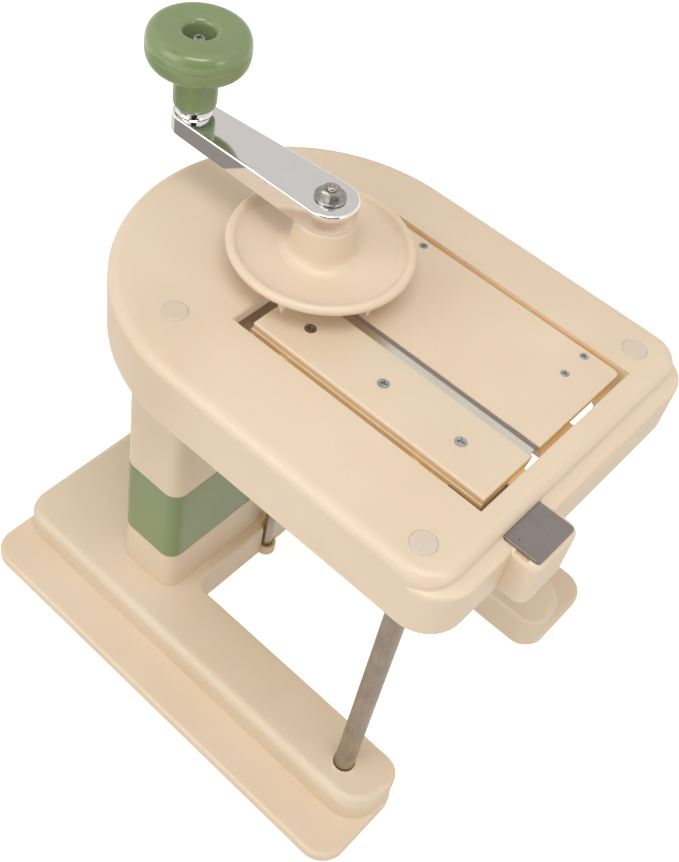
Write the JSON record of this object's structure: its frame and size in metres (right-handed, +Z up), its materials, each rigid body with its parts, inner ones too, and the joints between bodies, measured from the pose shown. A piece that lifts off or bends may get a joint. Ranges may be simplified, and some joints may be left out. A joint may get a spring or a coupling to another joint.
{
  "type": "hand crank rotary vegetable slicer",
  "caption": "Free-standing hand-crank vegetable slicer: a pronged holding disc turns food over a straight blade set in a D-shaped table on a column and two rods.",
  "frame": {"origin": "the centre of the machine's footprint, on the floor; the spindle's axis stands 37.85 mm behind it", "axes": "+Z up along the spindle, -Y towards the front of the table, +X to the right seen from the front"},
  "size_m": [0.304, 0.3476, 0.402],
  "materials": {
    "cream_abs": "injection moulded, satin",
    "green_abs": "injection moulded, satin",
    "rubber": "matt",
    "clear_plug": "translucent, smooth",
    "chrome_plate": "polished",
    "blade_steel": "ground",
    "bush_nylon": "moulded",
    "rod_steel": "drawn, bright",
    "strip_steel": "rolled strip",
    "bright_zinc": "zinc plated"
  },
  "bodies": {
    "base": {"base_frame": "cream_abs", "blade": "blade_steel", "blade_cover": "cream_abs", "column_band": "green_abs", "column_bolt_left": "bright_zinc", "column_bolt_right": "bright_zinc", "column_nut_left": "bright_zinc", "column_nut_right": "bright_zinc", "column_upper": "cream_abs", "foot_pad_bl": "rubber", "foot_pad_br": "rubber", "foot_pad_fl": "rubber", "foot_pad_fr": "rubber", "hinge_pin_back": "bright_zinc", "hinge_pin_front": "bright_zinc", "plug_back_left": "clear_plug", "plug_front_left": "clear_plug", "plug_front_right": "clear_plug", "rib_screw_back": "bright_zinc", "rib_screw_front": "bright_zinc", "rod_screw_left": "bright_zinc", "rod_screw_right": "bright_zinc", "spindle_bush": "bush_nylon", "support_rod_left": "rod_steel", "support_rod_right": "rod_steel", "table_shell": "cream_abs", "tray_lower": "cream_abs", "tray_screw_1": "bright_zinc", "tray_screw_2": "bright_zinc", "tray_screw_3": "bright_zinc"},
    "spindle": {"spindle": "rod_steel", "spindle_collar": "rod_steel", "washer": "bright_zinc", "hex_nut": "bright_zinc"},
    "crank": {"holding_disc": "cream_abs", "crank_arm": "chrome_plate", "knob_screw": "bright_zinc"},
    "knob": {"knob": "green_abs"},
    "thickness_slide": {"thickness_slide": "strip_steel", "slide_nub": "bright_zinc"},
    "infeed": {"hinge_block_back": "cream_abs", "hinge_block_front": "cream_abs", "infeed_plate": "cream_abs", "infeed_screw_in_back": "bright_zinc", "infeed_screw_in_front": "bright_zinc", "infeed_screw_out_back": "bright_zinc", "infeed_screw_out_front": "bright_zinc"}
  },
  "joints": [
    {"name": "feed_slide", "type": "slide", "parent": "base", "child": "spindle", "axis": [0, 0, 1], "range_m": [0, 0.12]},
    {"name": "crank_spin", "type": "hinge", "parent": "spindle", "child": "crank", "pos_m": [0, 0.03785, 0.34], "axis": [0, 0, 1], "continuous": true},
    {"name": "knob_spin", "type": "hinge", "parent": "crank", "child": "knob", "pos_m": [-0.00533, 0.13951, 0.385], "axis": [0, 0, 1], "continuous": true},
    {"name": "thickness_set", "type": "slide", "parent": "base", "child": "thickness_slide", "axis": [0, -1, 0], "range_m": [0, 0.012]},
    {"name": "infeed_tilt", "type": "hinge", "parent": "base", "child": "infeed", "pos_m": [0.071, -0.04755, 0.2775], "axis": [0, -1, 0], "range_deg": [0, 1.02]}
  ],
  "couplings": [
    {"joint": "infeed_tilt", "follows": "thickness_set", "rad_per_m": 1.4659}
  ]
}
